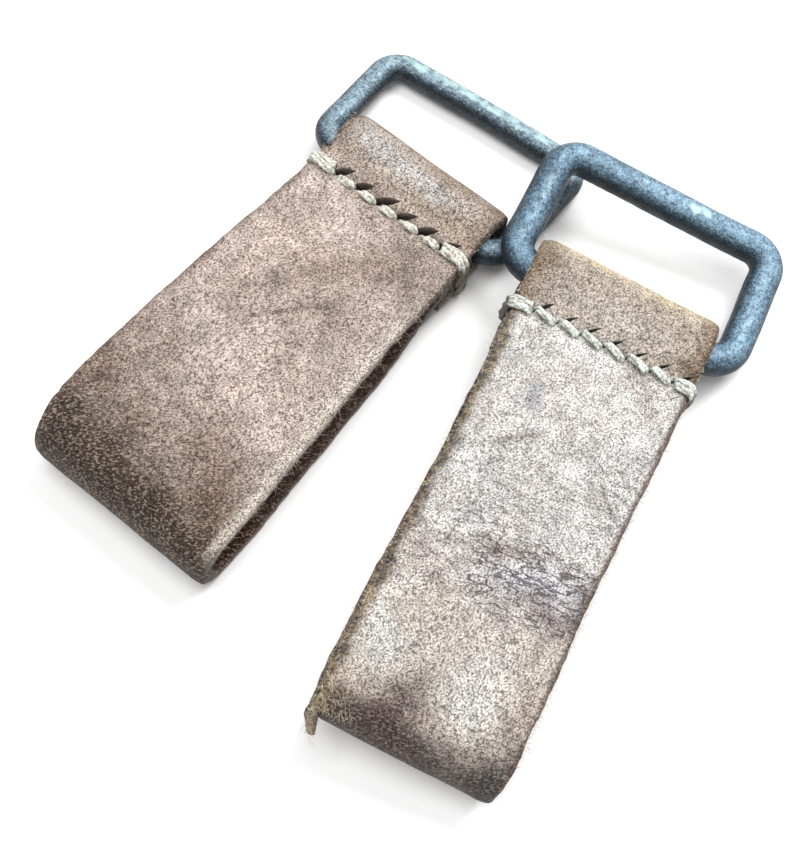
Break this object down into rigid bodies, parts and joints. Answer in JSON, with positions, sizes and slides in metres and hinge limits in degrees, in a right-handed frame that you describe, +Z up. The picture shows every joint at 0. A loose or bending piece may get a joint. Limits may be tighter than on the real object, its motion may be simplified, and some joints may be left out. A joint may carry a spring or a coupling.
{
  "type": "leather belt loop with wire ring",
  "caption": "Folded leather belt loops, each wrapped round the lower bar of a rectangular wire ring and saddle stitched below it, lying side by side with one ring on the other.",
  "frame": {"origin": "on the surface that the loops lie on, under the middle of the pair's box", "axes": "+Z up out of the surface, +Y from the belt folds towards the wire rings, +X from the left loop to the right one"},
  "size_m": [0.0772, 0.093, 0.015],
  "materials": {
    "left_leather": "worn napped brown leather, darker towards the belt fold",
    "right_leather": "worn napped pale leather, brown at the head",
    "steel_wire": "old galvanised steel wire, mottled blue-grey",
    "linen_thread": "waxed, twisted linen, cream"
  },
  "bodies": {
    "left_loop": {"left_strap": "left_leather", "left_thread": "linen_thread"},
    "left_wire": {"left_ring": "steel_wire"},
    "right_loop": {"right_strap": "right_leather", "right_thread": "linen_thread"},
    "right_wire": {"right_ring": "steel_wire"}
  },
  "joints": [
    {"name": "left_ring_swing", "type": "hinge", "parent": "left_loop", "child": "left_wire", "pos_m": [-0.01687, 0.02425, 0.00465], "axis": [0.9945, -0.1045, 0], "range_deg": [-101, 0]},
    {"name": "right_loop_lift", "type": "slide", "parent": "left_loop", "child": "right_loop", "axis": [0, 0, 1], "range_m": [0, 0.06]},
    {"name": "right_ring_swing", "type": "hinge", "parent": "right_loop", "child": "right_wire", "pos_m": [0.01856, 0.02392, 0.00671], "axis": [0.9855, 0.114, -0.1253], "range_deg": [0, 117]}
  ]
}
